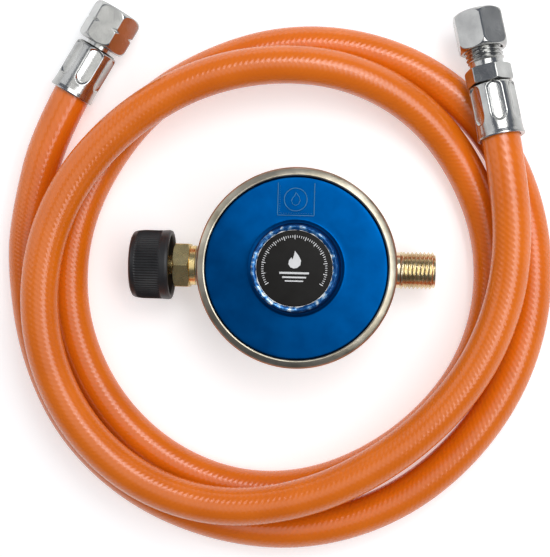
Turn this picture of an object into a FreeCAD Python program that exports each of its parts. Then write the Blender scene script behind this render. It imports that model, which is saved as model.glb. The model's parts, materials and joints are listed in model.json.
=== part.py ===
"""Low-pressure propane regulator with its loose hose.

The regulator stands on the floor with its diaphragm axis on Z. Its inlet and hand wheel
point to -X and its outlet to +X. The hose lies round it in loose turns on the floor and
ends in a union nut and in a compression fitting. All sizes are in millimetres.
"""
import FreeCAD, Part
import math
import os

from FreeCAD import Matrix, Placement, Rotation, Vector

# ---------------------------------------------------------------- driving sizes
PORT_Z = 14.5            # height of the inlet and outlet axis above the floor
FLANGE_R = 36.4          # crimped rim of the body
COVER_R = 32.8           # painted cover where it comes out of the rim
LEDGE_Z = 24.6           # seat of the diaphragm bead in the body
BEAD_T = 1.2
COVER_T = 1.4            # thickness of the cover's clamped flange
RIM_TOP = 30.9           # top of the rim, curled over the cover
DECK_Z = 30.4            # top of the cover inside the rim
TOWER_R = 16.2
TOWER_TOP = 44.2
SPRING_BORE_R = 12.9     # inside of the tower

THREAD_R = 7.0           # M14 x 1.5, outside radius
THREAD_MINOR_R = 6.2
OUTLET_NECK_R = 6.6
OUTLET_END = 50.5
CONE_MOUTH_R = 5.0       # 24 degree cone, where it opens
TUBE_SOCKET_R = 4.05     # takes an 8 mm tube
CONE_SLOPE = math.tan(math.radians(12))

HEX_INLET_AF = 16.0
INLET_HEX = (-46.0, -40.1)
INLET_COLLAR_END = -37.8
WHEEL = (-62.0, -47.2)
WHEEL_R = 13.0
CYLINDER_THREAD_R = 5.1

PIVOT_X, PIVOT_Z = -12.0, 8.0    # lever pin
LEVER_PIN_R = 1.0
LEVER_HOLE_R = 1.05
STEM_R = 2.0
VALVE_R = 3.0

HOSE_R = 7.0
HOSE_BORE_R = 4.0
FERRULE_LEN = 20.0
HOSE_GRIP = 18.4         # length of hose inside a ferrule
NUT_AF = 17.0
BODY_HEX_AF = 15.0
BEND_SHARE = 0.45        # share of the shorter run that each bend of the hose takes

# Mouth of each ferrule and the way its fitting points.
UNION_MOUTH = Vector(-88.2, 63.8, 8.5)
UNION_WAY = Vector(0.498, 0.867, 0)
GLAND_MOUTH = Vector(72.8, 48.7, 22.9)
GLAND_WAY = Vector(-0.211, 0.969, -0.1317)
LEAD = 15.0              # straight hose outside each ferrule
UNION_NUT = (21.3, 36.3)     # from the ferrule's mouth
GLAND_NUT = (32.8, 47.3)
GLAND_END = 36.5          # end of the compression fitting's body

# The hose's way over the floor, from the compression fitting to the union nut.
HOSE_ROUTE = [
    (78.2, 1.0, 22.4), (70.6, -27.5, 21.8), (55.5, -51.0, 21.6), (33.0, -71.0, 21.6),
    (4.5, -85.5, 21.6), (-28.0, -90.0, 21.6), (-58.0, -80.8, 21.6), (-81.5, -60.0, 21.6),
    (-95.0, -31.0, 21.6), (-96.0, 1.0, 21.6), (-85.8, 29.0, 21.6), (-66.0, 52.0, 21.6),
    (-40.5, 68.3, 21.6), (-11.5, 75.2, 21.4), (17.5, 73.0, 19.2), (43.0, 60.6, 14.2),
    (61.2, 39.5, 8.4), (72.4, 12.0, 7.0), (72.3, -17.5, 7.0), (61.3, -44.6, 7.0),
    (39.0, -67.8, 7.0), (10.0, -82.8, 7.0), (-20.5, -85.4, 7.0), (-50.2, -74.6, 7.0),
    (-73.5, -53.0, 7.0), (-87.0, -24.0, 7.0), (-88.2, 6.0, 7.0), (-79.3, 33.0, 7.0),
    (-60.5, 59.5, 7.0), (-35.5, 75.6, 7.0), (-7.5, 84.3, 7.0), (22.0, 83.0, 7.0),
    (50.0, 71.8, 7.0), (72.5, 50.7, 7.0), (85.3, 22.5, 7.0), (88.4, -9.0, 7.0),
    (80.6, -40.8, 7.0), (62.5, -68.5, 7.0), (37.5, -89.0, 7.0), (6.0, -99.9, 7.0),
    (-27.0, -98.6, 7.0), (-59.5, -86.4, 7.0), (-85.0, -64.0, 7.0), (-99.7, -34.0, 7.0),
    (-104.8, -1.0, 7.0), (-103.2, 19.0, 7.2),
]

ORIGIN = Vector(0, 0, 0)
X, Y, Z = Vector(1, 0, 0), Vector(0, 1, 0), Vector(0, 0, 1)


# ---------------------------------------------------------------- helpers
def turned(profile):
    """Solid of revolution about Z from (radius, height) points."""
    points = [Vector(r, 0, z) for r, z in profile]
    face = Part.Face(Part.makePolygon(points + [points[0]]))
    return face.revolve(ORIGIN, Z, 360)


def cylinder(radius, start, end):
    return Part.makeCylinder(radius, end - start, Vector(0, 0, start), Z)


def ring(outer, inner, start, end):
    return cylinder(outer, start, end).cut(cylinder(inner, start, end))


def box(low, high):
    size = [high[i] - low[i] for i in range(3)]
    return Part.makeBox(*size, Vector(*low))


def hexagon(across_flats, start, end, chamfer=0.0, angle=0.0):
    """Hexagonal prism on Z, its corners turned away at the chosen ends."""
    corner = across_flats / math.sqrt(3)
    points = [
        Vector(corner * math.cos(math.radians(angle + 60 * k)),
               corner * math.sin(math.radians(angle + 60 * k)), start)
        for k in range(7)
    ]
    prism = Part.Face(Part.makePolygon(points)).extrude(Vector(0, 0, end - start))
    if not chamfer:
        return prism
    rise = chamfer * math.tan(math.radians(30))
    tool = turned([(0, start), (corner - chamfer, start), (corner + 0.01, start + rise),
                   (corner + 0.01, end - rise), (corner - chamfer, end), (0, end)])
    return prism.common(tool)


def laid(shape, origin, way, roll=0.0):
    """Move a shape made on +Z so that +Z runs along way from origin."""
    way = Vector(way).normalize()
    side = Vector(-way.y, way.x, 0).normalize()
    top = side.cross(way) * -1
    matrix = Matrix(side.x, top.x, way.x, origin.x, side.y, top.y, way.y, origin.y,
                    side.z, top.z, way.z, origin.z, 0, 0, 0, 1)
    spun = shape.copy()
    spun.Placement = Placement(matrix).multiply(Placement(ORIGIN, Rotation(Z, roll)))
    return spun


def along_x(shape):
    """Move a shape made on +Z so that its height runs along +X at the ports' height."""
    return laid(shape, Vector(0, 0, PORT_Z), X)


def bent_path(points):
    """Straight runs joined by tangent arcs, with the radius of each arc."""
    edges, radii = [], []
    at = points[0]
    for before, point, after in zip(points, points[1:], points[2:]):
        back, ahead = (before - point), (after - point)
        length = BEND_SHARE * min(back.Length, ahead.Length)
        back.normalize()
        ahead.normalize()
        half_turn = (math.pi - back.getAngle(ahead)) / 2
        radius = length / math.tan(half_turn)
        first, last = point + back * length, point + ahead * length
        inward = (back + ahead).normalize()
        middle = point + inward * (radius / math.cos(half_turn) - radius)
        edges += [Part.LineSegment(at, first).toShape(),
                  Part.Arc(first, middle, last).toShape()]
        radii.append(radius)
        at = last
    edges.append(Part.LineSegment(at, points[-1]).toShape())
    return Part.Wire(edges), radii


def tube(path, radius):
    start = path.Edges[0].firstVertex().Point
    way = path.Edges[0].tangentAt(path.Edges[0].FirstParameter)
    section = Part.Wire(Part.makeCircle(radius, start, way))
    return path.makePipeShell([section], True, False)


# ---------------------------------------------------------------- regulator body
def lower_housing():
    """Cast body: foot, chamber, rim curled over the cover, and the two port bosses."""
    outside = turned([
        (0, 0), (16, 0), (17.5, 1.2), (23, 5), (25.6, 11), (26.6, 19), (33.2, 21.2),
        (35.6, 21.8), (FLANGE_R, 22.8), (FLANGE_R, RIM_TOP - 1.1),
        (35.8, RIM_TOP - 0.5), (33.8, RIM_TOP), (33.2, RIM_TOP - 0.3),
        (33.1, 27.25), (35.1, 27.25), (35.1, LEDGE_Z),
        (28.4, LEDGE_Z), (0, LEDGE_Z)])
    chamber = turned([(0, 2.8), (19.5, 2.8), (22.4, 11), (23.6, 18.6), (28.4, 21.4),
                      (28.4, LEDGE_Z), (0, LEDGE_Z)])
    inlet_boss = along_x(cylinder(7.4, INLET_COLLAR_END, -17.0))
    outlet_boss = along_x(turned([(0, 21.0), (9.0, 21.0), (9.0, 34.5), (8.2, 35.5),
                                  (0, 35.5)]))
    inner_outlet = chamber.common(along_x(cylinder(9.0, 21.0, 35.5)))
    body = outside.cut(chamber).fuse([inlet_boss, outlet_boss.cut(inner_outlet)])
    lugs = [box((-14.6, side * 4.15 - 1.35, 2.4), (-9.4, side * 4.15 + 1.35, 10.4))
            for side in (-1, 1)]
    body = body.fuse(lugs)
    body = body.cut(along_x(cylinder(5.0, -41, -16)))
    body = body.cut(along_x(cylinder(6.0, 24.6, 36)))
    body = body.cut(along_x(cylinder(4.0, 20, 25)))
    pin_hole = Part.makeCylinder(LEVER_PIN_R, 14, Vector(PIVOT_X, -7, PIVOT_Z), Y)
    return body.cut(pin_hole).removeSplitter()


def cover():
    """Cast cover clamped by the rim, with the spring tower on top."""
    flange_z = LEDGE_Z + BEAD_T
    flange_top = flange_z + COVER_T
    shell = turned([
        (30.6, flange_z), (35.0, flange_z), (35.0, flange_top), (COVER_R, flange_top),
        (COVER_R, DECK_Z - 0.5), (32.3, DECK_Z), (18.6, DECK_Z + 0.8),
        (17.2, DECK_Z + 1.2), (TOWER_R, DECK_Z + 2.8), (15.4, TOWER_TOP - 1.4),
        (15.2, TOWER_TOP - 0.4), (14.9, TOWER_TOP), (14.2, TOWER_TOP), (14.2, 42.7),
        (SPRING_BORE_R, 42.7), (SPRING_BORE_R, 29.6), (13.9, 28.7), (29.6, 28.3),
        (30.6, 27.4)])
    frame = box((-7.5, 18.0, DECK_Z - 0.2), (6.3, 30.8, DECK_Z + 0.75))
    frame = frame.cut(box((-6.8, 18.7, DECK_Z + 0.25), (5.6, 30.1, DECK_Z + 1)))
    medal = Part.makeCylinder(4.2, 0.9, Vector(-0.7, 24.4, DECK_Z - 0.2), Z)
    medal = medal.cut(Part.makeCylinder(3.7, 1, Vector(-0.7, 24.4, DECK_Z + 0.35), Z))
    shell = shell.fuse([frame, medal])
    vent = Part.makeCylinder(0.6, 8, Vector(0, -10, 36.0), Y * -1)
    return shell.cut(vent).removeSplitter()


def adjusting_screw():
    screw = turned([(0, 38.4), (9.2, 38.4), (9.2, 39.4), (12.85, 39.4), (12.85, 42.2),
                    (0, 42.2)])
    return screw.cut(hexagon(10.0, 38, 43))


def tower_cap():
    return turned([(0, 42.75), (14.1, 42.75), (14.1, 43.3), (13.8, 43.5), (0, 43.5)])


def label_disc():
    return cylinder(13.4, 43.5, 43.8)


def diaphragm():
    """Rubber sheet with one rolled fold and a bead clamped under the cover."""
    bead_top = LEDGE_Z + BEAD_T
    return turned([
        (STEM_R, 24.9), (20.6, 24.9), (21.6, 25.6), (22.8, 26.6), (24.4, 26.9),
        (26.0, 26.4), (27.2, 25.2), (28.6, LEDGE_Z), (34.9, LEDGE_Z), (34.9, bead_top),
        (30.4, bead_top), (28.8, 25.7), (27.8, 26.0), (26.6, 27.1), (24.5, 27.7),
        (22.4, 27.3), (21.0, 26.3), (20.3, 25.7), (STEM_R, 25.7)])


def diaphragm_plate():
    return turned([(2.05, 25.7), (19.3, 25.7), (20.0, 26.4), (20.0, 27.6), (19.0, 27.6),
                   (19.0, 26.7), (2.05, 26.7)])


def diaphragm_stem():
    """Rod through the diaphragm, with a slotted eye that holds the lever's tip."""
    rod = turned([(0, 10.5), (STEM_R, 10.5), (STEM_R, 23.9), (4.0, 23.9), (4.0, 24.9),
                  (STEM_R, 24.9), (STEM_R, 30.2), (1.6, 30.6), (0, 30.6)])
    eye = box((-2.6, -3.6, 5.0), (2.6, 3.6, 11.0))
    slot = box((-3, -2.4, PIVOT_Z - 1.15), (3, 2.4, PIVOT_Z + 1.15))
    return rod.fuse(eye).cut(slot).removeSplitter()


def stem_nut():
    return hexagon(7.0, 26.7, 29.6, 0.4).cut(cylinder(STEM_R, 26, 30))


def main_spring():
    """Closed coils between the diaphragm plate and the adjusting screw."""
    mean_r, wire_r, turns, per_turn = 8.0, 0.75, 5, 8
    low, high = 26.7 + wire_r + 0.25, 38.4 - wire_r - 0.25
    steps = turns * per_turn
    points = []
    for k in range(steps + 1):
        angle = 2 * math.pi * k / per_turn
        points.append(Vector(mean_r * math.cos(angle), mean_r * math.sin(angle),
                             low + (high - low) * k / steps))
    return tube(bent_path(points)[0], wire_r)


# ---------------------------------------------------------------- valve train
def lever():
    """Bell crank: a long arm to the diaphragm stem, a short arm to the valve."""
    half = 2.2
    hub = Part.makeCylinder(2.1, 2 * half, Vector(PIVOT_X, -half, PIVOT_Z), Y)
    long_arm = box((PIVOT_X, -half, PIVOT_Z - 0.7), (0, half, PIVOT_Z + 0.7))
    long_tip = Part.makeCylinder(1.0, 2 * half, Vector(0, -half, PIVOT_Z), Y)
    short_arm = box((PIVOT_X - 0.6, -1.2, PIVOT_Z), (PIVOT_X + 0.6, 1.2, PORT_Z))
    short_tip = Part.makeCylinder(0.9, 2.4, Vector(PIVOT_X, -1.2, PORT_Z), Y)
    hole = Part.makeCylinder(LEVER_HOLE_R, 10, Vector(PIVOT_X, -5, PIVOT_Z), Y)
    return hub.fuse([long_arm, long_tip, short_arm, short_tip]).cut(hole).removeSplitter()


def lever_pin():
    return Part.makeCylinder(LEVER_PIN_R, 11.0, Vector(PIVOT_X, -5.5, PIVOT_Z), Y)


def inlet_nozzle():
    """Brass nozzle with its seat, and the guide that the valve slides in."""
    body = cylinder(5.0, -29.8, -14.8)
    body = body.cut(cylinder(2.2, -30, -24.0)).cut(cylinder(0.8, -25, -21))
    guide = cylinder(VALVE_R + 0.05, -22.4, -14)
    seat = turned([(0.8, -22.5), (1.9, -22.5), (1.3, -21.6), (0.8, -21.6)])
    body = body.cut(guide).fuse(seat)
    window = box((-1.4, -6, -22.0), (1.4, 6, -18.6))
    return along_x(body.cut(window).removeSplitter())


def valve_stem():
    stem = cylinder(VALVE_R, -20.9, -9.6).cut(cylinder(2.4, -21, -19.6))
    stem = along_x(stem)
    fork = box((PIVOT_X - 1.0, -1.4, PORT_Z - 4), (PIVOT_X + 1.0, 1.4, PORT_Z + 1.4))
    return stem.cut(fork)


def valve_pad():
    return along_x(cylinder(2.35, -20.98, -19.6))


def inlet_filter():
    return along_x(ring(4.9, 0.4, -31.0, -29.8))


# ---------------------------------------------------------------- inlet and outlet
def inlet_nipple():
    """Hexagon, collar, root in the body, and the shank that the hand wheel turns on."""
    start, end = INLET_HEX
    solid = hexagon(HEX_INLET_AF, start, end, 0.9, 30)
    solid = solid.fuse([cylinder(7.4, end, INLET_COLLAR_END), cylinder(5.0, end, -31.0),
                        cylinder(3.7, -54.3, start), cylinder(4.85, -56.3, -54.3)])
    return along_x(solid.cut(cylinder(1.75, -58, -30)).removeSplitter())


def inlet_seal():
    return along_x(ring(4.4, 1.75, -57.3, -56.3))


def thrust_washer():
    return along_x(ring(4.9, 3.78, -52.9, -52.3))


def hand_wheel_insert():
    """Brass ring moulded into the hand wheel: cylinder thread, relief and rear web."""
    return along_x(turned([
        (CYLINDER_THREAD_R + 0.6, -61.6), (8.6, -61.6), (8.6, -50.4), (8.0, -49.8),
        (3.78, -49.8), (3.78, -52.3), (5.6, -52.3), (5.6, -57.4),
        (CYLINDER_THREAD_R, -57.4), (CYLINDER_THREAD_R, -61.0)]))


def hand_wheel():
    """Plastic grip with fine ridges round it and a collar at the open end."""
    start, end = WHEEL
    solid = turned([
        (8.6, start), (11.2, start), (12.0, start + 0.6), (12.4, start + 1.6),
        (12.75, start + 4.0), (12.75, end - 4.2), (12.6, end - 3.7), (12.9, end - 3.3),
        (WHEEL_R, end - 0.8), (12.6, end), (11.6, end), (11.0, end - 0.6),
        (11.0, end - 3.2), (8.6, end - 3.2)])
    ridges = 40
    groove = Part.makeCylinder(0.35, 8.0, Vector(12.95, 0, start + 2.4), Z)
    grooves = []
    for k in range(ridges):
        one = groove.copy()
        one.rotate(ORIGIN, Z, 360.0 * k / ridges)
        grooves.append(one)
    return along_x(solid.cut(Part.makeCompound(grooves)))


def coned_bore(end, through_r, depth):
    """Bore of a port for an 8 mm tube: 24 degree cone, socket and through hole."""
    cone = (CONE_MOUTH_R - TUBE_SOCKET_R) / CONE_SLOPE
    return turned([(0, end - depth), (through_r, end - depth), (through_r, end - 7.0),
                   (TUBE_SOCKET_R, end - 7.0), (TUBE_SOCKET_R, end - cone),
                   (CONE_MOUTH_R, end), (0, end)])


def outlet_stub():
    """Brass outlet: root in the body, neck, male thread and coned mouth."""
    solid = turned([(0, 24.6), (6.0, 24.6), (6.0, 35.5), (OUTLET_NECK_R, 35.5),
                    (OUTLET_NECK_R, 37.9), (THREAD_R, 37.9), (THREAD_R, OUTLET_END - 0.9),
                    (THREAD_MINOR_R, OUTLET_END), (0, OUTLET_END)])
    return along_x(solid.cut(coned_bore(OUTLET_END, 3.0, 26)))


# ---------------------------------------------------------------- hose and its fittings
def ferrule():
    """Crimped sleeve, from its flared mouth at 0 to the shoulder round the nipple."""
    return turned([(HOSE_R, 0), (8.4, 0), (8.5, 0.6), (8.1, 2.2), (7.8, 3.6),
                   (7.8, FERRULE_LEN - 0.5), (7.3, FERRULE_LEN), (4.9, FERRULE_LEN),
                   (4.9, HOSE_GRIP), (HOSE_R, HOSE_GRIP)])


def barb(tip, end):
    """Tail of a nipple with its gripping teeth, inside the hose."""
    teeth, outline = 5, [(HOSE_BORE_R - 0.5, tip)]
    step = (HOSE_GRIP - tip - 2) / teeth
    for k in range(teeth):
        outline += [(HOSE_BORE_R, tip + step * (k + 0.8)),
                    (HOSE_BORE_R - 0.5, tip + step * (k + 1))]
    outline += [(HOSE_BORE_R, HOSE_GRIP - 1.5), (HOSE_BORE_R, HOSE_GRIP), (4.9, HOSE_GRIP),
                (4.9, end), (0, end), (0, tip)]
    return turned(outline)


def nipple_union():
    """Hose nipple with the collar that holds the nut and the rounded sealing nose."""
    nose = turned([(0, 20), (4.9, 20), (4.9, 24.6), (6.0, 24.6), (6.0, 26.0),
                   (5.5, 26.2), (5.4, 27.2), (5.0, 28.2), (4.4, 28.9), (3.6, 29.2),
                   (0, 29.2)])
    solid = barb(-2.5, 20.5).fuse(nose).cut(cylinder(2.6, -3, 32))
    return laid(solid.removeSplitter(), UNION_MOUTH, UNION_WAY)


def union_nut():
    """Swivelling nut, with the groove across its corners that marks a left-hand thread."""
    start, end = UNION_NUT
    corner = NUT_AF / math.sqrt(3)
    middle = (start + end) / 2
    mark = turned([(corner - 0.7, middle), (corner + 1, middle - 1), (corner + 1, middle + 1)])
    solid = hexagon(NUT_AF, start, end, 1.1).cut(mark)
    relief = THREAD_R - 0.1
    bore = turned([(0, start - 1), (4.98, start - 1), (4.98, 24.5), (relief, 24.5),
                   (relief, 29.6), (THREAD_MINOR_R, 29.6), (THREAD_MINOR_R, end - 0.8),
                   (THREAD_R, end), (THREAD_R, end + 1), (0, end + 1)])
    return laid(solid.cut(bore), UNION_MOUTH, UNION_WAY)


def compression_body():
    """Hose nipple with a hexagon, a neck and the male thread of the compression joint."""
    solid = barb(-2.5, 20.6).fuse([
        hexagon(BODY_HEX_AF, 20.3, 26.2, 0.7),
        turned([(0, 26.2), (6.15, 26.2), (6.15, 28.4), (THREAD_R - 0.1, 29.2),
                (THREAD_R - 0.1, GLAND_END - 0.8), (THREAD_MINOR_R, GLAND_END),
                (0, GLAND_END)])])
    solid = solid.cut(cylinder(2.6, -3, 30)).cut(coned_bore(GLAND_END, 2.6, 10))
    return laid(solid.removeSplitter(), GLAND_MOUTH, GLAND_WAY, -15.0)


def cutting_ring():
    return laid(turned([(TUBE_SOCKET_R, 35.0), (4.45, 35.0), (4.78, 36.6), (5.5, 37.8),
                        (5.5, 41.0), (4.4, 42.1), (TUBE_SOCKET_R, 42.1)]),
                GLAND_MOUTH, GLAND_WAY)


def compression_nut():
    start, end = GLAND_NUT
    bore = turned([(0, start - 1), (THREAD_R, start - 1), (THREAD_R, 40.4),
                   (4.15, 43.25), (4.15, end + 1), (0, end + 1)])
    return laid(hexagon(NUT_AF, start, end, 1.1, 30).cut(bore), GLAND_MOUTH, GLAND_WAY)


def hose():
    """The free hose, with its bore, from inside one ferrule to inside the other."""
    union_way = Vector(UNION_WAY).normalize()
    gland_way = Vector(GLAND_WAY).normalize()
    points = [GLAND_MOUTH + gland_way * HOSE_GRIP, GLAND_MOUTH - gland_way * LEAD]
    points += [Vector(*p) for p in HOSE_ROUTE]
    points += [UNION_MOUTH - union_way * LEAD, UNION_MOUTH + union_way * HOSE_GRIP]
    path, radii = bent_path(points)
    print("hose length", round(path.Length, 1), "bend radii", [round(r) for r in radii])
    solid = tube(path, HOSE_R).cut(tube(path, HOSE_BORE_R))
    section = math.pi * (HOSE_R ** 2 - HOSE_BORE_R ** 2)
    print("hose volume over section times length",
          round(solid.Volume / (section * path.Length), 4))
    return solid


NODES = {
    "lower_housing": lower_housing,
    "cover": cover,
    "adjusting_screw": adjusting_screw,
    "tower_cap": tower_cap,
    "label_disc": label_disc,
    "diaphragm": diaphragm,
    "diaphragm_plate": diaphragm_plate,
    "diaphragm_stem": diaphragm_stem,
    "stem_nut": stem_nut,
    "main_spring": main_spring,
    "lever": lever,
    "lever_pin": lever_pin,
    "inlet_nozzle": inlet_nozzle,
    "valve_stem": valve_stem,
    "valve_pad": valve_pad,
    "inlet_filter": inlet_filter,
    "inlet_nipple": inlet_nipple,
    "inlet_seal": inlet_seal,
    "thrust_washer": thrust_washer,
    "hand_wheel_insert": hand_wheel_insert,
    "hand_wheel": hand_wheel,
    "outlet_stub": outlet_stub,
    "hose": hose,
    "ferrule_union": lambda: laid(ferrule(), UNION_MOUTH, UNION_WAY),
    "nipple_union": nipple_union,
    "union_nut": union_nut,
    "ferrule_compression": lambda: laid(ferrule(), GLAND_MOUTH, GLAND_WAY),
    "compression_body": compression_body,
    "cutting_ring": cutting_ring,
    "compression_nut": compression_nut,
}


def main():
    os.makedirs("parts", exist_ok=True)
    for name, make in NODES.items():
        shape = make()
        solids = shape.Solids
        if len(solids) != 1 or not shape.isValid():
            print("check", name, len(solids), shape.isValid())
        solids[0].exportStep("parts/" + name + ".step")


main()
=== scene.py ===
"""Looks of the propane regulator and its loose hose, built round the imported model."""
import json
import math

import bmesh
import bpy
import numpy as np
from mathutils import Matrix, Vector


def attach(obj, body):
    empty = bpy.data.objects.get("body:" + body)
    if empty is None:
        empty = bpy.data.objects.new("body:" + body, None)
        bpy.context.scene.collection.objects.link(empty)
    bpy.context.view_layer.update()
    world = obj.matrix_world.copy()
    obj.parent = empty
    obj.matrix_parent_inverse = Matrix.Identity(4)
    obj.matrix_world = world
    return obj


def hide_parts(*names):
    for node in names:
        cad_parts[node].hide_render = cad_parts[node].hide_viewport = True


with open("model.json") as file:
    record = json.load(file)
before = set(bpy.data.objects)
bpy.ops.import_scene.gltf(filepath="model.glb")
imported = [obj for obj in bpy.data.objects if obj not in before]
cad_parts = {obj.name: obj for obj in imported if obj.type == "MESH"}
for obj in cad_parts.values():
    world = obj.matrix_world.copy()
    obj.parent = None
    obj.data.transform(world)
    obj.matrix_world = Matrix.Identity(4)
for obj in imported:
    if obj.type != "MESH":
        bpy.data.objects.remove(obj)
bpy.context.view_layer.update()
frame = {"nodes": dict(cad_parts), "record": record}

MM = 0.001
TAU = 2 * math.pi

# Lengths are in mm unless a comment says otherwise. Fittings are measured from the mouth
# of their ferrule, and the ports from the regulator's axis.
PITCH = 1.5              # of the M14 threads
THREAD_DEPTH = 0.82
HOSE_R = 7.0
HOSE_LENGTH = 1.508      # in metres, with the ends inside the ferrules
HOSE_GRIP = 18.4         # hose inside a ferrule
LEAD = 15.0              # straight hose outside a ferrule
BRAID_PITCH = 2.1        # along the hose, from ripple to ripple
BRAID_STARTS = 15
BARREL_R = 8.3           # outside of a ferrule between its crimps
BARB_TIP = -2.5          # inner end of both barbed tails
UNION_NUT_AT = 28.8      # origin of the union nut's hinge
GLAND_NUT_AT = 40.0      # origin of the compression nut's hinge
NUT_AF = 17.0            # across the flats of both nuts
DECK_EDGE_R, DECK_EDGE_Z = 32.5, 30.35     # low edge of the cover's sloping top
DECK_TOP_R, DECK_TOP_Z = 18.4, 31.2        # the same slope near the tower
LIP_FOOT = 43.2          # height above which the cover's lip is staked
LIP_MIDDLE_R = 14.6      # between the lip's inner and outer side

record = frame["record"]
joints = {j["name"]: j for j in record["behaviour"]["joints"]}
mounts = {m["name"]: m for m in record["mounts"]}


# ---------------------------------------------------------------- places
def placement(origin, way):
    """Matrix that lays a piece made in mm on +Z along way, from origin in metres."""
    way = Vector(way).normalized()
    side = Vector((-way.y, way.x, 0)).normalized()
    top = way.cross(side)
    turn = Matrix((side, top, way)).transposed().to_4x4()
    return Matrix.Translation(origin) @ turn @ Matrix.Scale(MM, 4)


def fitting(joint, along):
    """Mouth and way of a hose fitting, from a joint that lies along mm past the mouth."""
    way = Vector(joint["axis"]).normalized()
    return Vector(joint["pos_m"]) - way * along * MM, way


UNION_MOUTH, UNION_WAY = fitting(joints["union_nut_spin"], UNION_NUT_AT)
GLAND_MOUTH, GLAND_WAY = fitting(joints["compression_nut_spin"], GLAND_NUT_AT)
PORT_Z = mounts["gas_outlet"]["pos_m"][2]
UNION = placement(UNION_MOUTH, UNION_WAY)
GLAND = placement(GLAND_MOUTH, GLAND_WAY)
PORTS = placement((0, 0, PORT_Z), (1, 0, 0))
UPRIGHT = Matrix.Scale(MM, 4)


# ---------------------------------------------------------------- mesh helpers
def filleted(points, closed=True):
    """Outline with arcs at the points that carry a third number, their radius."""
    out = []
    count = len(points)
    for i, point in enumerate(points):
        at = np.array(point[:2], float)
        radius = point[2] if len(point) > 2 else 0
        if not radius or (not closed and i in (0, count - 1)):
            out.append(at)
            continue
        back = np.array(points[i - 1][:2], float) - at
        ahead = np.array(points[(i + 1) % count][:2], float) - at
        reach = 0.49 * min(np.linalg.norm(back), np.linalg.norm(ahead))
        back /= np.linalg.norm(back)
        ahead /= np.linalg.norm(ahead)
        half = math.acos(np.clip(back @ ahead, -1, 1)) / 2
        length = min(radius / math.tan(half), reach)
        turn = math.pi - 2 * half
        steps = max(3, int(math.degrees(turn) / 12))
        start, end = at + back * length, at + ahead * length
        weight = math.cos(turn / 2)
        for k in range(steps + 1):
            u = k / steps
            parts = ((1 - u) ** 2, 2 * weight * u * (1 - u), u * u)
            total = sum(parts)
            out.append((parts[0] * start + parts[1] * at + parts[2] * end) / total)
    return out


def dense(points, step, closed=True):
    """The same outline with no stretch longer than step."""
    out = []
    following = points[1:] + points[:1] if closed else points[1:]
    for a, b in zip(points, following):
        count = max(1, math.ceil(np.linalg.norm(np.subtract(b, a)) / step))
        out += [np.add(a, np.subtract(b, a) * (k / count)) for k in range(count)]
    return out if closed else out + [np.array(points[-1], float)]


def soft_min(a, b, width):
    """The smaller of two values, with a rounded change from one to the other."""
    share = np.clip(0.5 + 0.5 * (b - a) / width, 0, 1)
    return b * (1 - share) + a * share - width * share * (1 - share)


def smooth(low, high, value):
    """Soft step from 0 at low to 1 at high."""
    t = np.clip((value - low) / (high - low), 0, 1)
    return t * t * (3 - 2 * t)


def link(name, mesh, material):
    """New object in the scene, with its material."""
    piece = bpy.data.objects.new(name, mesh)
    bpy.context.scene.collection.objects.link(piece)
    mesh.materials.append(material)
    return piece


def finished(name, mesh, material, matrix, sharp):
    """Weld, turn the faces outwards, place and shade a new mesh."""
    work = bmesh.new()
    work.from_mesh(mesh)
    bmesh.ops.remove_doubles(work, verts=work.verts, dist=1e-5)
    bmesh.ops.recalc_face_normals(work, faces=work.faces)
    work.to_mesh(mesh)
    work.free()
    mesh.transform(matrix)
    mesh.shade_smooth()
    mesh.set_sharp_from_angle(angle=math.radians(sharp))
    return link(name, mesh, material)


def lathe(name, outline, material, matrix, around=128, closed=True, shape=None, sharp=32):
    """Turned piece. Its outline holds (radius, height) rows; shape(angles, radius, height)
    may return other radii for a row."""
    angles = np.arange(around) * TAU / around
    rows = []
    for radius, height in outline:
        radii = np.full(around, float(radius))
        if shape is not None:
            radii = shape(angles, radii, float(height))
        rows.append(np.stack([radii * np.cos(angles), radii * np.sin(angles),
                              np.full(around, float(height))], axis=1))
    count = len(rows)
    faces = []
    for i in range(count if closed else count - 1):
        low, high = i * around, ((i + 1) % count) * around
        faces += [(low + j, low + (j + 1) % around, high + (j + 1) % around, high + j)
                  for j in range(around)]
    mesh = bpy.data.meshes.new(name)
    mesh.from_pydata(np.concatenate(rows).tolist(), [], faces)
    return finished(name, mesh, material, matrix, sharp)


def ribbon(name, paths, material, matrix, width, height, sharp=40):
    """Low rounded ridges along flat paths of (x, y, z) points, joined in one piece."""
    section = [(-0.5, 0.0), (-0.42, 0.6), (-0.2, 0.95), (0.2, 0.95), (0.42, 0.6), (0.5, 0.0)]
    verts, faces = [], []
    for path, loop in paths:
        points = [np.array(p, float) for p in path]
        count = len(points)
        first = len(verts)
        for i, point in enumerate(points):
            before = points[i - 1] if loop or i else point
            after = points[(i + 1) % count] if loop or i < count - 1 else point
            way = (after - before)[:2]
            way /= np.linalg.norm(way)
            side = np.array([-way[1], way[0], 0])
            verts += [tuple(point + side * a * width + np.array([0, 0, b * height]))
                      for a, b in section]
        size = len(section)
        for i in range(count if loop else count - 1):
            low, high = first + i * size, first + ((i + 1) % count) * size
            faces += [(low + j, low + (j + 1) % size, high + (j + 1) % size, high + j)
                      for j in range(size)]
        if not loop:
            faces += [tuple(first + j for j in range(size)),
                      tuple(first + (count - 1) * size + j for j in reversed(range(size)))]
    mesh = bpy.data.meshes.new(name)
    mesh.from_pydata(verts, [], faces)
    return finished(name, mesh, material, matrix, sharp)


def place(piece, body, slot, *nodes):
    """Hand a piece to its body, and hide the CAD nodes it stands for. The slot argument is not
    used.
    """
    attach(piece, body)
    if nodes:
        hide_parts(*nodes)
    return piece


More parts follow.
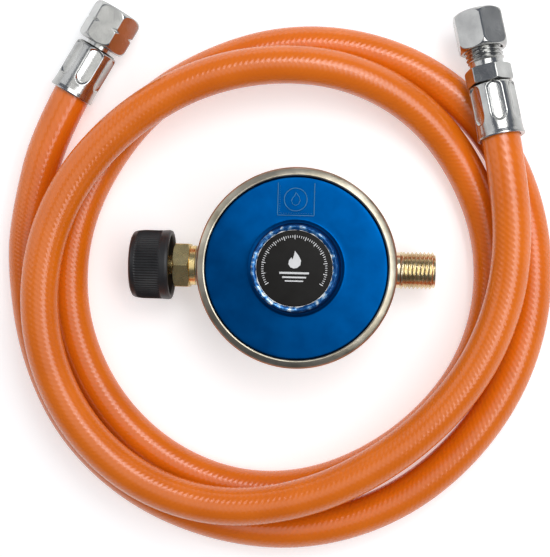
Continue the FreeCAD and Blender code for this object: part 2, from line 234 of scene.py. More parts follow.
# ---------------------------------------------------------------- materials
def new_material(name, color, metallic, roughness, **inputs):
    """New node material; further inputs are named with _ for each space."""
    material = bpy.data.materials.new(name)
    material.use_nodes = True
    nodes, links = material.node_tree.nodes, material.node_tree.links
    shader = nodes["Principled BSDF"]
    shader.inputs["Base Color"].default_value = (*color, 1)
    shader.inputs["Metallic"].default_value = metallic
    shader.inputs["Roughness"].default_value = roughness
    for key, value in inputs.items():
        shader.inputs[key.replace("_", " ")].default_value = value
    return material, nodes, links, shader


def noise(nodes, links, scale, detail):
    """Noise on object coordinates, in metres."""
    coordinates = nodes.new("ShaderNodeTexCoord")
    texture = nodes.new("ShaderNodeTexNoise")
    texture.inputs["Scale"].default_value = scale
    texture.inputs["Detail"].default_value = detail
    links.new(coordinates.outputs["Object"], texture.inputs["Vector"])
    return texture.outputs["Fac"]


def ramp(nodes, links, source, stops):
    """Colour of a source through (position, colour) stops."""
    node = nodes.new("ShaderNodeValToRGB")
    node.color_ramp.elements[0].position = stops[0][0]
    node.color_ramp.elements[0].color = (*stops[0][1], 1)
    node.color_ramp.elements[1].position = stops[-1][0]
    node.color_ramp.elements[1].color = (*stops[-1][1], 1)
    for position, color in stops[1:-1]:
        node.color_ramp.elements.new(position).color = (*color, 1)
    links.new(source, node.inputs["Fac"])
    return node.outputs["Color"]


def spread(nodes, links, source, low, high, start=0):
    """The source's span, from start to 1, stretched to low and high."""
    node = nodes.new("ShaderNodeMapRange")
    node.inputs["From Min"].default_value = start
    node.inputs["From Max"].default_value = 1
    node.inputs["To Min"].default_value = low
    node.inputs["To Max"].default_value = high
    links.new(source, node.inputs["Value"])
    return node.outputs["Result"]


def maths(nodes, links, operation, *values):
    """Math node on values that are numbers or the outputs of other nodes."""
    node = nodes.new("ShaderNodeMath")
    node.operation = operation
    for socket, value in zip(node.inputs, values):
        if isinstance(value, bpy.types.NodeSocket):
            links.new(value, socket)
        else:
            socket.default_value = value
    return node.outputs[0]


def bump(nodes, links, shader, source, distance, strength):
    """Relief of a source, whose distance is in metres."""
    node = nodes.new("ShaderNodeBump")
    node.inputs["Strength"].default_value = strength
    node.inputs["Distance"].default_value = distance
    links.new(source, node.inputs["Height"])
    links.new(node.outputs["Normal"], shader.inputs["Normal"])


def metal(name, dark, light, roughness, grain, grain_depth):
    """Metal with soft tarnish, uneven polish and a fine surface grain."""
    material, nodes, links, shader = new_material(name, light, 1.0, roughness)
    cloud = noise(nodes, links, 130, 5)
    links.new(ramp(nodes, links, cloud, [(0.3, dark), (0.7, light)]),
              shader.inputs["Base Color"])
    polish = noise(nodes, links, 420, 6)
    links.new(spread(nodes, links, polish, roughness * 0.65, roughness * 1.35),
              shader.inputs["Roughness"])
    bump(nodes, links, shader, noise(nodes, links, grain, 3), grain_depth, 0.5)
    return material


def plain(name, dark, light, roughness, grain, grain_depth, **inputs):
    """Plastic, rubber or paint with slight colour change and a fine grain."""
    material, nodes, links, shader = new_material(name, light, 0.0, roughness, **inputs)
    cloud = noise(nodes, links, 160, 5)
    links.new(ramp(nodes, links, cloud, [(0.3, dark), (0.7, light)]),
              shader.inputs["Base Color"])
    polish = noise(nodes, links, 500, 4)
    links.new(spread(nodes, links, polish, roughness * 0.8, roughness * 1.2),
              shader.inputs["Roughness"])
    bump(nodes, links, shader, noise(nodes, links, grain, 3), grain_depth, 0.5)
    return material


def hose_rubber():
    """Orange hose: the braid under the skin shows as crossing fine ripples."""
    dark, light = (0.72, 0.145, 0.003), (0.80, 0.172, 0.006)
    material, nodes, links, shader = new_material("orange_hose", light, 0.0, 0.22,
                                                  Specular_IOR_Level=0.65)
    coordinates = nodes.new("ShaderNodeTexCoord")
    split = nodes.new("ShaderNodeSeparateXYZ")
    links.new(coordinates.outputs["UV"], split.inputs["Vector"])
    along = maths(nodes, links, "MULTIPLY", split.outputs["X"],
                  HOSE_LENGTH / MM / BRAID_PITCH * TAU)
    ripples = []
    for hand, depth in ((1, 1.0), (-1, 0.4)):
        phase = maths(nodes, links, "MULTIPLY_ADD", split.outputs["Y"],
                      hand * BRAID_STARTS * TAU, along)
        wave = maths(nodes, links, "SINE", phase)
        ripples.append(maths(nodes, links, "MULTIPLY", wave, depth))
    crest = maths(nodes, links, "ADD", *ripples)
    bump(nodes, links, shader, crest, 0.000024, 0.7)
    links.new(ramp(nodes, links, noise(nodes, links, 60, 6), [(0.3, dark), (0.7, light)]),
              shader.inputs["Base Color"])
    return material


def turned_grain(material, amount):
    """Stretch the reflections of a turned surface across its rings."""
    nodes, links = material.node_tree.nodes, material.node_tree.links
    shader = nodes["Principled BSDF"]
    tangent = nodes.new("ShaderNodeTangent")
    tangent.direction_type = "RADIAL"
    tangent.axis = "Z"
    links.new(tangent.outputs["Tangent"], shader.inputs["Tangent"])
    shader.inputs["Anisotropic"].default_value = amount


def chipped_paint_and_glints():
    """Blue paint knocked off the rolled lip in places, with painted highlights: the light-blue
    and pale patches stand for glints on the staked crimps as well as for bare metal.
    """
    material, nodes, links, shader = new_material("chipped_blue_and_painted_glints", BLUE_MID, 0.6, 0.3)
    cloud = noise(nodes, links, 380, 4)
    # Light-blue and pale patches: chipped paint, and painted glints on the crimps.
    links.new(ramp(nodes, links, cloud, [(0.50, BLUE_MID), (0.57, (0.06, 0.24, 0.52)),
                                         (0.66, (0.55, 0.65, 0.72))]),
              shader.inputs["Base Color"])
    bump(nodes, links, shader, noise(nodes, links, 900, 2), 0.0002, 0.8)
    return material


BLUE_DARK, BLUE_MID = (0.0, 0.050, 0.190), (0.0, 0.066, 0.240)
ZINC = metal("zinc_cast", (0.33, 0.29, 0.21), (0.61, 0.56, 0.45), 0.33, 1500, 0.00004)
BRASS = metal("brass", (0.60, 0.44, 0.18), (0.90, 0.73, 0.36), 0.27, 2200, 0.00003)
BRASS_PALE = metal("brass_pale", (0.58, 0.48, 0.30), (0.84, 0.74, 0.52), 0.22, 2200,
                   0.00003)
PLATED = metal("plated_steel", (0.37, 0.37, 0.36), (0.54, 0.54, 0.52), 0.17, 2300,
               0.00007)
STEEL = metal("spring_steel", (0.32, 0.32, 0.33), (0.50, 0.50, 0.51), 0.3, 2500, 0.00001)
ALUMINIUM = metal("plate_aluminium", (0.55, 0.55, 0.56), (0.72, 0.72, 0.73), 0.35, 2500,
                  0.00001)
BLUE = metal("blue_paint", BLUE_DARK, BLUE_MID, 0.34, 900, 0.00002)
turned_grain(ZINC, 0.6)
turned_grain(BLUE, 0.75)
# Lighter copy of the cover's blue paint: its lighter colour is a painted highlight along the
# cast frame, ring, flame and dots.
RAISED_HIGHLIT = plain("blue_raised_painted_highlight", (0.0, 0.11, 0.30), (0.01, 0.16, 0.38), 0.25, 900, 0.00003,
               Coat_Weight=0.5, Coat_Roughness=0.1)
CHIPPED_AND_GLINTS = chipped_paint_and_glints()
BLACK = plain("black_plastic", (0.011, 0.011, 0.012), (0.022, 0.022, 0.023), 0.42, 3000,
              0.00003, Specular_IOR_Level=0.4)
LABEL = plain("label_black", (0.011, 0.010, 0.009), (0.015, 0.014, 0.013), 0.5, 2500,
              0.000008, Specular_IOR_Level=0.12)
PRINT = plain("label_print", (0.62, 0.62, 0.62), (0.75, 0.75, 0.75), 0.5, 2500, 0.000004)
RUBBER = plain("seal_rubber", (0.012, 0.012, 0.012), (0.022, 0.022, 0.022), 0.7, 2200,
               0.00003)
ORANGE = hose_rubber()


# ---------------------------------------------------------------- camera, light and floor
def camera():
    """Looks almost straight down, from over the outlet side."""
    target = Vector((-9.5, -4.5, 0)) * MM
    distance = 0.5
    lean_x, lean_y, roll = math.radians(3.7), math.radians(1.1), math.radians(1.4)
    back = Vector((math.tan(lean_x), math.tan(lean_y), 1)).normalized()
    right = Vector((math.cos(roll), math.sin(roll), 0))
    right = (right - back * right.dot(back)).normalized()
    up = back.cross(right)
    data = bpy.data.cameras.new("camera")
    data.lens = 84.3
    data.sensor_width = 36
    lens = bpy.data.objects.new("camera", data)
    turn = Matrix((right, up, back)).transposed().to_4x4()
    lens.matrix_world = Matrix.Translation(target + back * distance) @ turn
    bpy.context.scene.collection.objects.link(lens)
    bpy.context.scene.camera = lens


def area_light(name, place_mm, aim_mm, size, energy):
    """Soft box of a size in metres that looks at a point."""
    data = bpy.data.lights.new(name, "AREA")
    data.shape = "RECTANGLE"
    data.size, data.size_y = size
    data.energy = energy
    light = bpy.data.objects.new(name, data)
    spot, aim = Vector(place_mm) * MM, Vector(aim_mm) * MM
    light.location = spot
    light.rotation_euler = (aim - spot).to_track_quat("-Z", "Y").to_euler()
    bpy.context.scene.collection.objects.link(light)


def lights():
    """Three soft lights in a world that is dark round its middle and bright overhead."""
    area_light("key", (265, 85, 560), (0, 0, 0), (0.80, 0.28), 2.3)
    area_light("upper", (60, 240, 560), (0, 0, 0), (0.28, 0.15), 0.45)
    area_light("side", (-600, 240, 430), (0, 20, 0), (0.50, 0.50), 0.75)
    world = bpy.data.worlds.new("studio")
    bpy.context.scene.world = world
    world.use_nodes = True
    nodes, links = world.node_tree.nodes, world.node_tree.links
    coordinates = nodes.new("ShaderNodeTexCoord")
    split = nodes.new("ShaderNodeSeparateXYZ")
    links.new(coordinates.outputs["Generated"], split.inputs["Vector"])
    tone = ramp(nodes, links, split.outputs["Z"], [
        (0.0, (0.9, 0.9, 0.9)), (0.18, (0.85, 0.85, 0.85)), (0.34, (0.14, 0.155, 0.19)),
        (0.90, (0.17, 0.185, 0.22)), (0.955, (1.05, 1.05, 1.04)), (1.0, (1.15, 1.15, 1.14))])
    links.new(tone, nodes["Background"].inputs["Color"])
    links.new(spread(nodes, links, split.outputs["Y"], 0.6, 1.4, start=-1),
              nodes["Background"].inputs["Strength"])
    bpy.context.scene.view_settings.view_transform = "Standard"


def floor():
    """Pale sheet that glows a little, just under the object."""
    material, nodes, links, shader = new_material("floor", (0.8, 0.8, 0.8), 0.0, 0.9)
    links.new(ramp(nodes, links, noise(nodes, links, 8, 2),
                   [(0.3, (0.79, 0.79, 0.79)), (0.7, (0.81, 0.81, 0.81))]),
              shader.inputs["Base Color"])
    shader.inputs["Emission Color"].default_value = (1, 1, 1, 1)
    shader.inputs["Emission Strength"].default_value = 0.42
    half = 3.0
    mesh = bpy.data.meshes.new("floor")
    mesh.from_pydata([(-half, -half, 0), (half, -half, 0), (half, half, 0), (-half, half, 0)],
                     [], [(0, 1, 2, 3)])
    piece = link("floor", mesh, material)
    piece.location.z = -0.0001


# ---------------------------------------------------------------- hose
# The hose's way over the floor, in metres.
HOSE_ROUTE = [
    (0.0782, 0.0010, 0.0224), (0.0706, -0.0275, 0.0218), (0.0555, -0.0510, 0.0216),
    (0.0330, -0.0710, 0.0216), (0.0045, -0.0855, 0.0216), (-0.0280, -0.0900, 0.0216),
    (-0.0580, -0.0808, 0.0216), (-0.0815, -0.0600, 0.0216), (-0.0950, -0.0310, 0.0216),
    (-0.0960, 0.0010, 0.0216), (-0.0858, 0.0290, 0.0216), (-0.0660, 0.0520, 0.0216),
    (-0.0405, 0.0683, 0.0216), (-0.0115, 0.0752, 0.0214), (0.0175, 0.0730, 0.0192),
    (0.0430, 0.0606, 0.0142), (0.0612, 0.0395, 0.0084), (0.0724, 0.0120, 0.0070),
    (0.0723, -0.0175, 0.0070), (0.0613, -0.0446, 0.0070), (0.0390, -0.0678, 0.0070),
    (0.0100, -0.0828, 0.0070), (-0.0205, -0.0854, 0.0070), (-0.0502, -0.0746, 0.0070),
    (-0.0735, -0.0530, 0.0070), (-0.0870, -0.0240, 0.0070), (-0.0882, 0.0060, 0.0070),
    (-0.0793, 0.0330, 0.0070), (-0.0605, 0.0595, 0.0070), (-0.0355, 0.0756, 0.0070),
    (-0.0075, 0.0843, 0.0070), (0.0220, 0.0830, 0.0070), (0.0500, 0.0718, 0.0070),
    (0.0725, 0.0507, 0.0070), (0.0853, 0.0225, 0.0070), (0.0884, -0.0090, 0.0070),
    (0.0806, -0.0408, 0.0070), (0.0625, -0.0685, 0.0070), (0.0375, -0.0890, 0.0070),
    (0.0060, -0.0999, 0.0070), (-0.0270, -0.0986, 0.0070), (-0.0595, -0.0864, 0.0070),
    (-0.0850, -0.0640, 0.0070), (-0.0997, -0.0340, 0.0070), (-0.1048, -0.0010, 0.0070),
    (-0.1032, 0.0190, 0.0072),
]


def hose():
    """The hose as one bevelled curve, which ends inside both ferrules."""
    points = [GLAND_MOUTH + GLAND_WAY * HOSE_GRIP * MM, GLAND_MOUTH - GLAND_WAY * LEAD * MM]
    points += [Vector(p) for p in HOSE_ROUTE]
    points += [UNION_MOUTH - UNION_WAY * LEAD * MM, UNION_MOUTH + UNION_WAY * HOSE_GRIP * MM]
    curve = bpy.data.curves.new("hose_line", "CURVE")
    curve.dimensions = "3D"
    spline = curve.splines.new("NURBS")
    spline.points.add(len(points) - 1)
    for control, point in zip(spline.points, points):
        control.co = (*point, 1)
    spline.order_u = 3
    spline.use_endpoint_u = True
    spline.resolution_u = 16
    curve.bevel_depth = HOSE_R * MM
    curve.bevel_resolution = 10
    curve.use_fill_caps = True
    piece = bpy.data.objects.new("hose_line", curve)
    bpy.context.scene.collection.objects.link(piece)
    curve.materials.append(ORANGE)
    return place(piece, "hose_assembly", "orange_rubber", "hose")


# ---------------------------------------------------------------- hexagons, threads, crimps
def hex_radius(angles, across_flats, turn=0.0, edge=0.22):
    """Radius of a hexagon with slightly worn corners; a face's middle is at turn."""
    off = np.abs(np.mod(angles - turn + math.pi / 6, math.pi / 3) - math.pi / 6)
    near = across_flats / 2 / np.cos(off)
    other = across_flats / 2 / np.cos(math.pi / 3 - off)
    return soft_min(near, other, edge)


def hexed(across_flats, start, end, turn=0.0, worn=0.12):
    """Row shape that cuts flats between two heights."""
    def shape(angles, radii, height):
        if start - 1e-6 <= height <= end + 1e-6:
            return soft_min(radii, hex_radius(angles, across_flats, turn), worn)
        return radii
    return shape


def threaded(start, end, hand, depth=THREAD_DEPTH, inside=False, pitch=PITCH):
    """Row shape that cuts a helical thread between two heights; hand is 1 for right."""
    def shape(angles, radii, height):
        fade = smooth(start - 0.01, start + 0.5 * pitch, height)
        fade = fade * (1 - smooth(end - 0.3 * pitch, end + 0.01, height))
        phase = np.mod(height / pitch - hand * angles / TAU, 1.0)
        groove = 1 - np.abs(2 * phase - 1)
        groove = np.clip(groove * 1.22 - 0.13, 0, 1)
        cut = depth * fade * groove
        return radii + cut if inside else radii - cut
    return shape


def nut_outline(start, end, mark=False):
    """Outside of a hexagon nut's blank, from its far end to its near one."""
    corner, middle = NUT_AF / math.sqrt(3), (start + end) / 2
    outer = [(7.5, end), (8.15, end - 0.05, 0.3), (9.3, end - 0.95, 1.6),
             (corner, end - 2.5, 1.2)]
    if mark:
        outer += [(corner, middle + 0.8), (corner - 0.8, middle + 0.1, 0.1),
                  (corner - 0.8, middle - 0.1, 0.1), (corner, middle - 0.8)]
    outer += [(corner, start + 2.5, 1.2), (9.3, start + 0.95, 1.6),
              (8.15, start + 0.05, 0.3), (7.5, start)]
    return filleted(outer, closed=False)


def union_nut():
    """Hexagon nut with notched corners, loose behind the nipple's collar."""
    start, end = 21.3, 36.3
    bore = filleted([(5.0, start, 0.25), (5.0, 24.5), (6.9, 24.5), (6.9, 29.4), (6.2, 29.8),
                     (6.2, end - 0.8), (7.0, end, 0.15)], closed=False)
    outline = dense(bore + nut_outline(start, end, mark=True), 0.16)
    piece = lathe("union_nut_skin", outline, PLATED, UNION, 192,
                  shape=hexed(NUT_AF, start, end, math.pi / 2), sharp=24)
    return place(piece, "union_nut", "plated_steel", "union_nut")


def compression_nut():
    """Hexagon nut with the opening for the tube."""
    start, end = 32.8, 47.3
    bore = [(4.15, end - 0.3), (4.15, 43.25), (7.05, 40.4), (7.05, start + 0.2),
            (7.3, start)]
    outline = dense([(4.4, end)] + nut_outline(start, end) + bore[::-1], 0.16)
    piece = lathe("compression_nut_skin", outline, PLATED, GLAND, 192,
                  shape=hexed(NUT_AF, start, end, math.radians(60)), sharp=24)
    return place(piece, "compression_nut", "plated_steel", "compression_nut")


def crimped(angles, radii, height, turn):
    """Six hollow crimp pockets with round ends along a ferrule, one of them at turn."""
    pocket_start, pocket_end = 8.4, 17.2
    deepest_r, hollow, rise = 7.2, 0.12, 1.5
    off = np.mod(angles - turn + math.pi / 6, math.pi / 3) - math.pi / 6
    beyond = max(0.0, pocket_start - height, 1.5 * (height - pocket_end))
    across = BARREL_R * np.sin(off)
    reach = np.hypot(across, beyond)
    floor_r = deepest_r + hollow * across ** 2 + rise * smooth(2.6, 4.0, reach)
    return soft_min(radii, floor_r, 0.1)


def ferrule(name, matrix, turn, node):
    """Crimped sleeve over the end of the hose, with its bell towards the hose."""
    bore_r = 7.02
    outline = filleted([(bore_r, 0.15), (8.5, 0, 0.2), (8.65, 0.5, 0.3), (8.4, 1.8, 1.2),
                        (BARREL_R, 3.6, 1.5), (BARREL_R, 19.2, 0.8), (7.2, 19.95, 0.3),
                        (4.9, 20.0), (4.9, 18.6), (bore_r, 18.5)])
    outline = dense(outline, 0.2)

    def shape(angles, radii, height):
        outside = radii[0] > bore_r + 0.13
        return crimped(angles, radii, height, turn) if outside else radii
    piece = lathe(name, outline, PLATED, matrix, 240, shape=shape, sharp=60)
    return place(piece, "hose_assembly", "plated_steel", node)


def barb_outline():
    """Barbed tail inside the hose, from its inner end to the mouth of the fitting."""
    teeth = 5
    step = (HOSE_GRIP - BARB_TIP - 2) / teeth
    rows = [(2.6, BARB_TIP), (3.5, BARB_TIP)]
    for k in range(teeth):
        rows += [(4.0, BARB_TIP + step * (k + 0.8)), (3.5, BARB_TIP + step * (k + 1))]
    return rows + [(4.0, HOSE_GRIP - 1.5), (4.0, HOSE_GRIP), (4.85, HOSE_GRIP)]


def nipple_union():
    """Barbed nipple with the collar and ball nose that hold the union nut."""
    nose = filleted([(4.85, 20.0), (4.85, 24.6), (5.95, 24.65, 0.2), (5.95, 26.0, 0.2),
                     (5.4, 27.2, 1.0), (4.9, 28.3, 0.8), (3.6, 29.2, 0.5), (2.6, 29.2)],
                    closed=False)
    outline = barb_outline() + nose
    return place(lathe("nipple_union_skin", outline, PLATED, UNION, 96),
                 "hose_assembly", "plated_steel", "nipple_union")


def compression_body():
    """Barbed fitting with a hexagon, a male thread and a cone for the cutting ring."""
    hex_af, start, end = 15.0, 20.3, 26.2
    thread_start, thread_end, core_r = 28.6, 36.6, 6.18
    corner = hex_af / math.sqrt(3)
    body = [(4.85, start), (corner - 0.75, start), (corner, start + 0.43),
            (corner, end - 0.43), (corner - 0.75, end), (6.3, end), (6.15, end + 0.2),
            (6.15, 28.3), (6.9, 29.1), (6.9, 35.7), (6.2, 36.45), (5.0, 36.5),
            (4.05, 32.03), (4.05, 29.5), (2.6, 29.5)]
    outline = dense(barb_outline() + body, 0.14)
    cut_flats = hexed(hex_af, start, end, math.radians(75))
    cut_thread = threaded(thread_start, thread_end, 1)

    def shape(angles, radii, height):
        if radii[0] > core_r and height > thread_start - 0.25:
            return cut_thread(angles, radii, height)
        return cut_flats(angles, radii, height)
    piece = lathe("compression_body_skin", outline, PLATED, GLAND, 192, shape=shape,
                  sharp=26)
    return place(piece, "hose_assembly", "plated_steel", "compression_body")


# ---------------------------------------------------------------- inlet and outlet
def outlet_stub():
    """Outlet with its left-hand thread, and a cone and socket for a tube."""
    thread_start, end, core_r = 38.0, 50.5, 6.22
    outline = [(6.0, 24.6), (6.0, 35.5), (6.6, 35.5), (6.6, 37.5), (7.0, thread_start),
               (7.0, end - 0.85), (6.25, end - 0.05), (6.1, end), (5.05, end),
               (5.0, end - 0.03), (4.05, end - 4.47), (4.05, end - 7), (3.0, end - 7),
               (3.0, 24.6)]
    thread = threaded(thread_start, end + 0.8, -1)

    def shape(angles, radii, height):
        outside = radii[0] > core_r and height > thread_start - 0.6
        return thread(angles, radii, height) if outside else radii
    piece = lathe("outlet_stub_skin", dense(outline, 0.1), BRASS_PALE, PORTS, 160, shape=shape,
                  sharp=30)
    return place(piece, "regulator", "brass", "outlet_stub")


def inlet_nipple():
    """Nipple with a hexagon, and the collar that keeps the hand wheel on."""
    start, end, across = -46.0, -40.1, 16.0
    corner = across / math.sqrt(3)
    rise = 0.95 * math.tan(math.radians(30))
    outline = [(1.75, -56.3), (4.6, -56.3), (4.85, -56.0), (4.85, -54.3), (3.7, -54.3),
               (3.7, start - 0.2), (4.0, start), (corner - 0.95, start),
               (corner, start + rise), (corner, end - rise), (corner - 0.95, end),
               (7.25, end), (7.4, end + 0.15), (7.4, -38.0), (7.2, -37.8), (5.0, -37.8),
               (5.0, -31.0), (1.75, -31.0)]
    piece = lathe("inlet_nipple_skin", dense(outline, 0.15), BRASS, PORTS, 192,
                  shape=hexed(across, start, end), sharp=24)
    return place(piece, "regulator", "brass", "inlet_nipple")


def hand_wheel():
    """Wheel with fine ridges between a smooth nose and a smooth rear band."""
    start, end = -62.0, -47.2
    ridges, ridge_depth, ridge_foot = 80, 0.34, 12.1
    outline = filleted([
        (8.6, start, 0.2), (11.0, start, 0.8), (12.2, start + 0.7, 0.9),
        (12.55, start + 2.1, 0.6), (12.8, start + 4.2, 2.0), (12.8, end - 3.2, 0.3),
        (12.9, end - 2.9, 0.3), (13.0, end - 1.1, 0.6), (12.7, end, 0.5), (11.5, end, 0.4),
        (11.05, end - 0.8, 0.5), (11.05, end - 3.2, 0.3), (8.6, end - 3.2)])

    def shape(angles, radii, height):
        if radii[0] < ridge_foot:
            return radii
        window = smooth(start + 2.0, start + 2.7, height)
        window = window * (1 - smooth(end - 3.8, end - 3.3, height))
        wave = 0.5 - 0.5 * np.cos(ridges * angles)
        return radii - ridge_depth * window * wave ** 0.8
    piece = lathe("hand_wheel_skin", dense(outline, 0.4), BLACK, PORTS, 8 * ridges,
                  shape=shape, sharp=40)
    return place(piece, "hand_wheel", "black_plastic", "hand_wheel")


def hand_wheel_insert():
    """Threaded insert of the hand wheel; its thread has 28 turns to the inch."""
    thread_start, thread_end, thread_pitch = -61.3, -57.5, 0.907
    outline = filleted([(8.6, -61.6, 0.2), (8.6, -50.4, 0.2), (8.0, -49.8, 0.2),
                        (3.78, -49.8, 0.2), (3.78, -52.3), (5.6, -52.3), (5.6, -57.2),
                        (5.1, thread_end), (5.1, -61.0), (5.7, -61.6, 0.1)])
    thread = threaded(thread_start, thread_end, 1, depth=0.45, inside=True,
                      pitch=thread_pitch)

    def shape(angles, radii, height):
        on_wall = 5.05 < radii[0] < 5.2
        return thread(angles, radii, height) if on_wall else radii
    piece = lathe("hand_wheel_insert_skin", dense(outline, 0.12), BRASS, PORTS, 120,
                  shape=shape)
    return place(piece, "hand_wheel", "brass", "hand_wheel_insert")


# ---------------------------------------------------------------- regulator body
def lower_housing():
    """Bowl with its rolled rim, and the two port bosses blended into it."""
    bowl_line = filleted([
        (0, 0), (16.4, 0, 0.8), (17.8, 1.0, 1.0), (23.0, 5.0, 3.0), (25.4, 11.0, 5.0),
        (26.4, 18.6, 2.5), (33.0, 21.2, 2.0), (36.0, 21.9, 0.9), (36.4, 22.9, 0.6),
        (36.4, 29.6, 0.8), (35.75, 30.35, 0.7), (33.75, 31.05, 0.3), (33.2, 30.8, 0.25),
        (33.05, 27.25), (35.1, 27.25), (35.1, 24.6), (28.4, 24.6), (28.4, 21.4),
        (23.6, 18.6), (22.4, 11.0), (19.5, 2.8), (0, 2.8)], closed=False)
    inlet_line = filleted([
        (5.0, -37.8), (7.2, -37.8, 0.2), (7.4, -37.5, 0.2), (7.4, -30.0, 2.5),
        (9.6, -24.0), (7.0, -17.0), (5.0, -17.0)])
    outlet_line = filleted([
        (6.0, 24.6), (7.4, 24.6), (10.6, 25.4), (9.0, 29.0, 2.5), (9.0, 34.8, 0.5),
        (8.3, 35.5, 0.4), (6.0, 35.5)])
    bowl = lathe("housing_bowl", bowl_line, ZINC, UPRIGHT, 256, closed=False, sharp=28)
    inlet = lathe("inlet_boss", inlet_line, ZINC, PORTS, 96)
    outlet = lathe("outlet_boss", outlet_line, ZINC, PORTS, 96)
    place(inlet, "regulator", "zinc_cast")
    place(outlet, "regulator", "zinc_cast")
    return place(bowl, "regulator", "zinc_cast", "lower_housing")


def staked(angles, radii, height):
    """Stake marks and ripples where the lip was rolled over the cap."""
    if height < LIP_FOOT:
        return radii
    marks = [(0.35, 0.5), (1.05, 0.35), (1.95, 0.45), (2.7, 0.3), (3.5, 0.5), (4.2, 0.4),
             (4.85, 0.35), (5.5, 0.5)]
    out = radii.copy()
    for at, size in marks:
        off = np.abs(np.mod(angles - at + math.pi, TAU) - math.pi)
        out += np.where(radii > LIP_MIDDLE_R, -1, 1) * size * 0.55 * np.exp(-(off / 0.06) ** 2)
    ripple = 0.05 * np.sin(23 * angles + 1.3) + 0.05 * np.sin(41 * angles + height)
    return out + ripple


def cover():
    """Painted cap with its tower, and the staked lip round the label."""
    outline = filleted([
        (30.6, 25.8), (35.0, 25.8), (35.0, 27.2), (33.0, 27.2, 0.1), (33.0, 30.1, 0.3),
        (DECK_EDGE_R, DECK_EDGE_Z, 0.5), (17.5, 31.25, 1.0), (16.2, 32.0, 0.9),
        (15.7, 34.5, 2.0), (15.35, 42.6, 0.6), (15.15, 43.9, 0.5), (14.7, 44.2, 0.3),
        (14.25, 44.0), (14.2, 42.7), (12.9, 42.7), (12.9, 29.6), (13.9, 28.7),
        (29.6, 28.3), (30.6, 27.4)])
    lip = filleted([(15.3, 42.8), (15.3, 43.4, 0.3), (15.1, 44.1, 0.35), (14.6, 44.35, 0.3),
                    (14.0, 44.15, 0.2), (13.5, 43.86, 0.1), (13.55, 43.55), (14.22, 43.4),
                    (14.22, 42.8)])
    place(lathe("cover_lip", dense(lip, 0.12), CHIPPED_AND_GLINTS, UPRIGHT, 360, shape=staked,
                sharp=60), "regulator", "blue_paint")
    piece = lathe("cover_skin", dense(outline, 1.5), BLUE, UPRIGHT, 320, sharp=38)
    return place(piece, "regulator", "blue_paint", "cover")


def deck_z(x, y):
    """Height of the cover's sloping top, in mm."""
    slope = (DECK_TOP_Z - DECK_EDGE_Z) / (DECK_EDGE_R - DECK_TOP_R)
    return DECK_EDGE_Z + (DECK_EDGE_R - min(math.hypot(x, y), DECK_EDGE_R)) * slope


def on_deck(points, step=0.5, closed=True):
    """Flat path laid on the sloping top, sunk a little into it."""
    sunk = 0.12
    return [(x, y, deck_z(x, y) - sunk) for x, y in dense(points, step, closed)]


def arc(center, radius, start, end, count):
    """Points on an arc between two angles, both ends included."""
    return [(center[0] + radius * math.cos(start + (end - start) * k / count),
             center[1] + radius * math.sin(start + (end - start) * k / count))
            for k in range(count + 1)]


def cover_panel():
    """Cast frame on the cover with a ring and a plain flame in it."""
    left, right, low, high = -7.1, 6.0, 18.9, 30.6
    ring_at, ring_r = (-0.7, 24.6), 4.1
    frame_line = on_deck([(left, high), (left, low), (right, low), (right, high)],
                         closed=False)
    ring_line = on_deck(arc(ring_at, ring_r, 0, TAU, 48)[:-1])
    place(ribbon("cover_frame", [(frame_line, False), (ring_line, True)], RAISED_HIGHLIT, UPRIGHT,
                 0.5, 0.45), "regulator", "blue_paint")
    flame = [(-0.7, 27.2), (0.5, 25.6), (0.9, 24.3), (0.35, 23.0), (-0.7, 22.5),
             (-1.75, 23.0), (-2.25, 24.2), (-1.7, 25.3), (-1.1, 25.9)]
    place(ribbon("cover_flame", [(on_deck(flame, 0.3), True)], RAISED_HIGHLIT, UPRIGHT, 0.4, 0.36),
          "regulator", "blue_paint")
    dots = []
    for k in range(13):
        dots.append((left + 0.75, low + 0.9 + k * 0.8))
        dots.append((left + 1.3 + k * 0.9, low + 0.75))
    paths = [(on_deck([(x - 0.1, y - 0.1), (x + 0.1, y + 0.1)], 1, False), False)
             for x, y in dots]
    place(ribbon("cover_dots", paths, RAISED_HIGHLIT, UPRIGHT, 0.3, 0.34), "regulator",
          "blue_paint")


def flat_marks(name, shapes, height, thickness):
    """Thin printed shapes, each a list of (x, y) corners in mm."""
    verts, faces = [], []
    for corners in shapes:
        first, count = len(verts), len(corners)
        verts += [(x, y, height) for x, y in corners]
        verts += [(x, y, height + thickness) for x, y in corners]
        faces.append(tuple(range(first + count, first + 2 * count)))
        faces.append(tuple(reversed(range(first, first + count))))
        faces += [(first + k, first + (k + 1) % count, first + count + (k + 1) % count,
                   first + count + k) for k in range(count)]
    mesh = bpy.data.meshes.new(name)
    mesh.from_pydata(verts, [], faces)
    return finished(name, mesh, PRINT, UPRIGHT, 30)


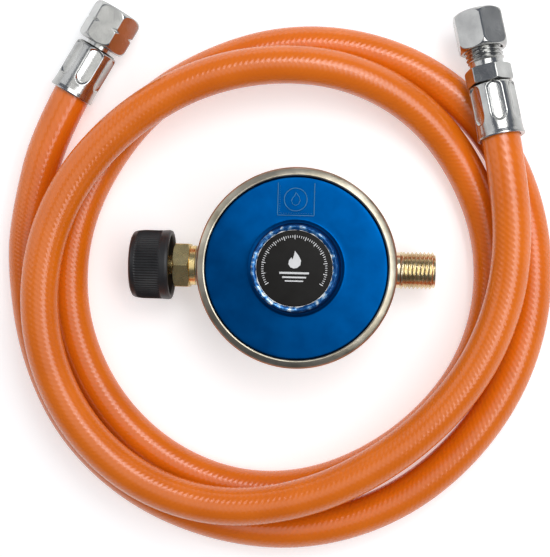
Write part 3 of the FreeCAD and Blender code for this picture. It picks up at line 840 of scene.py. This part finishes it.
def label():
    """Black disc with generic pictures: dial ticks, a flame and three bars."""
    outline = [(0, 43.5), (13.35, 43.5), (13.4, 43.6), (13.35, 43.72), (13.1, 43.78),
               (0, 43.8)]
    disc = lathe("label_disc_skin", outline, LABEL, UPRIGHT, 160, closed=False, sharp=80)
    place(disc, "regulator", "label_black", "label_disc")
    shapes = []
    for k in range(61):
        angle = math.radians(-30 + 240 * k / 60)
        inner, outer = (10.3, 11.7) if k % 5 == 0 else (10.8, 11.6)
        half = 0.013 if k % 5 == 0 else 0.010
        shapes.append([(r * math.cos(angle + s), r * math.sin(angle + s))
                       for r, s in ((inner, -half), (outer, -half), (outer, half),
                                    (inner, half))])
    flame = [(0.1, 6.2), (1.5, 4.4), (2.3, 2.8), (2.1, 1.2), (1.0, 0.2), (-0.2, 0.0),
             (-1.4, 0.4), (-2.1, 1.5), (-1.9, 2.8), (-1.1, 3.9), (-0.7, 3.1), (-0.2, 4.6)]
    shapes.append(flame)
    for y, half_width, half_height in ((-1.6, 5.2, 0.35), (-3.1, 4.2, 0.28),
                                       (-4.4, 3.2, 0.22)):
        shapes.append([(-half_width, y - half_height), (half_width, y - half_height),
                       (half_width, y + half_height), (-half_width, y + half_height)])
    place(flat_marks("label_print", shapes, 43.795, 0.035), "regulator", "label_black")


# ---------------------------------------------------------------- CAD nodes that stay
STAYING = {
    "adjusting_screw": BRASS, "tower_cap": ALUMINIUM, "diaphragm": RUBBER,
    "diaphragm_plate": ALUMINIUM, "diaphragm_stem": BRASS, "stem_nut": PLATED,
    "main_spring": STEEL, "lever": PLATED, "lever_pin": STEEL, "inlet_nozzle": BRASS,
    "valve_stem": BRASS, "valve_pad": RUBBER, "inlet_filter": ALUMINIUM,
    "inlet_seal": RUBBER, "thrust_washer": PLATED, "cutting_ring": PLATED,
}


def dress_cad_nodes():
    """Give the nodes inside the casings their materials."""
    for node, material in STAYING.items():
        for slot in frame["nodes"][node].material_slots:
            slot.material = material


camera()
lights()
floor()
hose_piece = hose()
dress_cad_nodes()
lower_housing()
cover()
cover_panel()
label()
outlet_stub()
inlet_nipple()
hand_wheel()
hand_wheel_insert()
fitting_pieces = [
    ferrule("ferrule_union_skin", UNION, math.radians(90 + 18), "ferrule_union"),
    nipple_union(),
    union_nut(),
    ferrule("ferrule_compression_skin", GLAND, math.radians(90), "ferrule_compression"),
    compression_body(),
    compression_nut(),
    frame["nodes"]["cutting_ring"],
]
